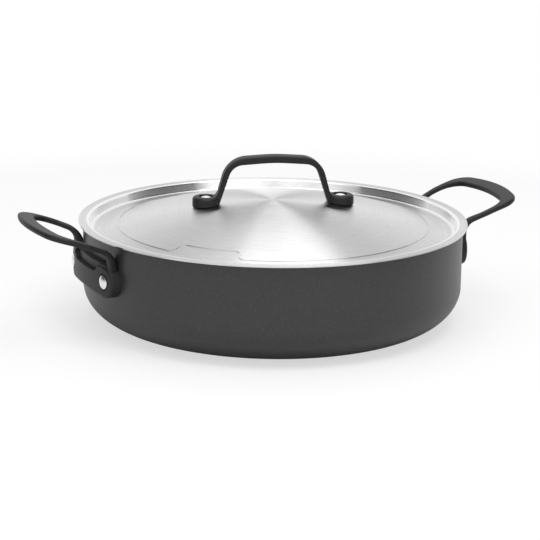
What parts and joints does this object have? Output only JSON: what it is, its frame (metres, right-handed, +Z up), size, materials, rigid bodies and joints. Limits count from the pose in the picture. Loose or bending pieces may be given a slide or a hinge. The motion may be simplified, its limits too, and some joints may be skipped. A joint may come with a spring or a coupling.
{
  "type": "lidded braiser",
  "caption": "Wide straight-sided braising pan with riveted loop side handles and a stepped metal lid that lifts off by its riveted arch handle.",
  "frame": {"origin": "centre of the plane that the pan stands on", "axes": "+Z up, X through the middle of both side handles, +X towards the right handle"},
  "size_m": [0.413, 0.311, 0.1331],
  "materials": {
    "anodised_aluminium": "dark hard-anodised, fine sparkle, satin",
    "handle_coating": "dark satin coating on cast metal",
    "rivet_steel": "bright stainless",
    "lid_steel": "stainless, brushed in circles",
    "base_steel": "turned stainless"
  },
  "bodies": {
    "pan": {"pan_body": "anodised_aluminium", "induction_base": "base_steel", "left_handle": "handle_coating", "right_handle": "handle_coating", "left_handle_rivet_front": "rivet_steel", "left_handle_rivet_rear": "rivet_steel", "right_handle_rivet_front": "rivet_steel", "right_handle_rivet_rear": "rivet_steel"},
    "lid": {"lid": "lid_steel", "lid_handle": "handle_coating", "lid_handle_rivet_left": "rivet_steel", "lid_handle_rivet_right": "rivet_steel"}
  },
  "joints": [
    {"name": "lid_lift", "type": "slide", "parent": "pan", "child": "lid", "axis": [0, 0, 1], "range_m": [0, 0.12]}
  ]
}
